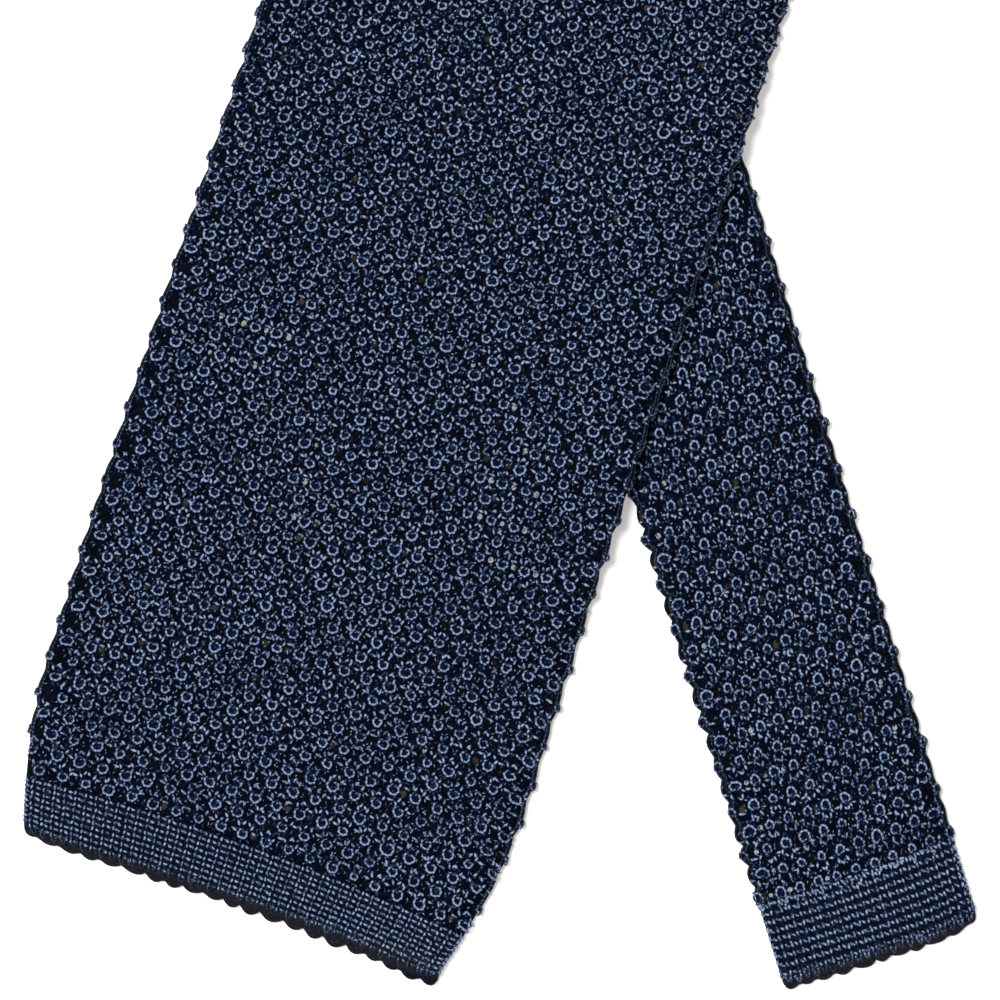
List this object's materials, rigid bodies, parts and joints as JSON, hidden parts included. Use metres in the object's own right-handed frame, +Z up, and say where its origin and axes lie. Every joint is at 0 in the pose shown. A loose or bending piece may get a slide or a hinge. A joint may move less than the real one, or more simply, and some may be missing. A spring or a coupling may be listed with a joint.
{
  "type": "knit tie",
  "caption": "Long knitted tube tie laid in one neck loop, a wide square-ended blade crossing over a narrow one, both closed by plain scalloped bands.",
  "frame": {"origin": "on the table, under the middle of the laid tie's bounding box", "axes": "+Z up from the table, +Y from the two blade ends towards the nape, +X to the side where the narrow end lies"},
  "size_m": [0.2574, 0.6568, 0.0073],
  "materials": {
    "bobbled_knit": "navy silk yarn in a bobbled open-work knit, soft sheen on each loop",
    "plain_knit": "navy silk yarn in a fine plain knit, soft sheen"
  },
  "bodies": {
    "root": {"wide_blade": "bobbled_knit", "neck_band": "bobbled_knit", "narrow_blade": "bobbled_knit", "wide_end_band": "plain_knit", "narrow_end_band": "plain_knit"}
  },
  "joints": []
}
